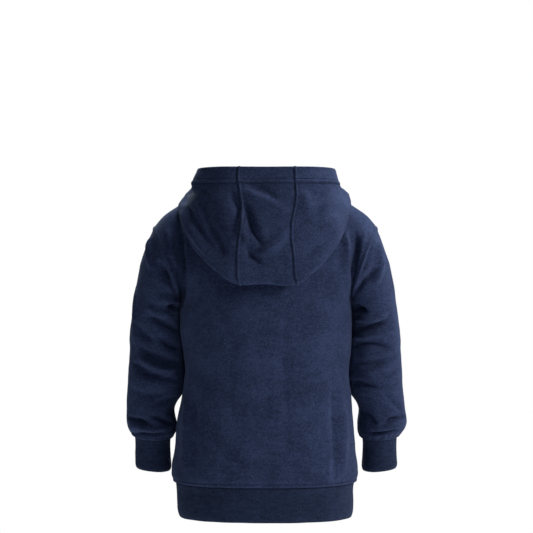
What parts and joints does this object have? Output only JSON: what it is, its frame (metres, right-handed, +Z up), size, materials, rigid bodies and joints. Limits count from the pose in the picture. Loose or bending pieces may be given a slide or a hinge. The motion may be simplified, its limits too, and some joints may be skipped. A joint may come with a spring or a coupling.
{
  "type": "toddler hoodie",
  "caption": "Toddler's plain pullover hoodie with a panelled hood worn down, set-in sleeves, cuffs and a waistband, filled out as if worn but empty.",
  "frame": {"origin": "in the middle of the neck opening, level with the back of the neckline, where the wearer holds the garment up", "axes": "+Z up, -Y towards the garment's front, +X towards the wearer's left"},
  "size_m": [0.338, 0.2011, 0.4179],
  "materials": {
    "fleece": "matt navy cotton fleece with a faintly heathered face",
    "rib_knit": "matt dark navy fine rib knit"
  },
  "bodies": {
    "root": {"back": "fleece", "front": "fleece", "sleeve_left": "fleece", "sleeve_right": "fleece", "cuff_left": "rib_knit", "cuff_right": "rib_knit", "waistband": "rib_knit", "hood_left": "fleece", "hood_right": "fleece", "hood_centre": "fleece"}
  },
  "joints": []
}
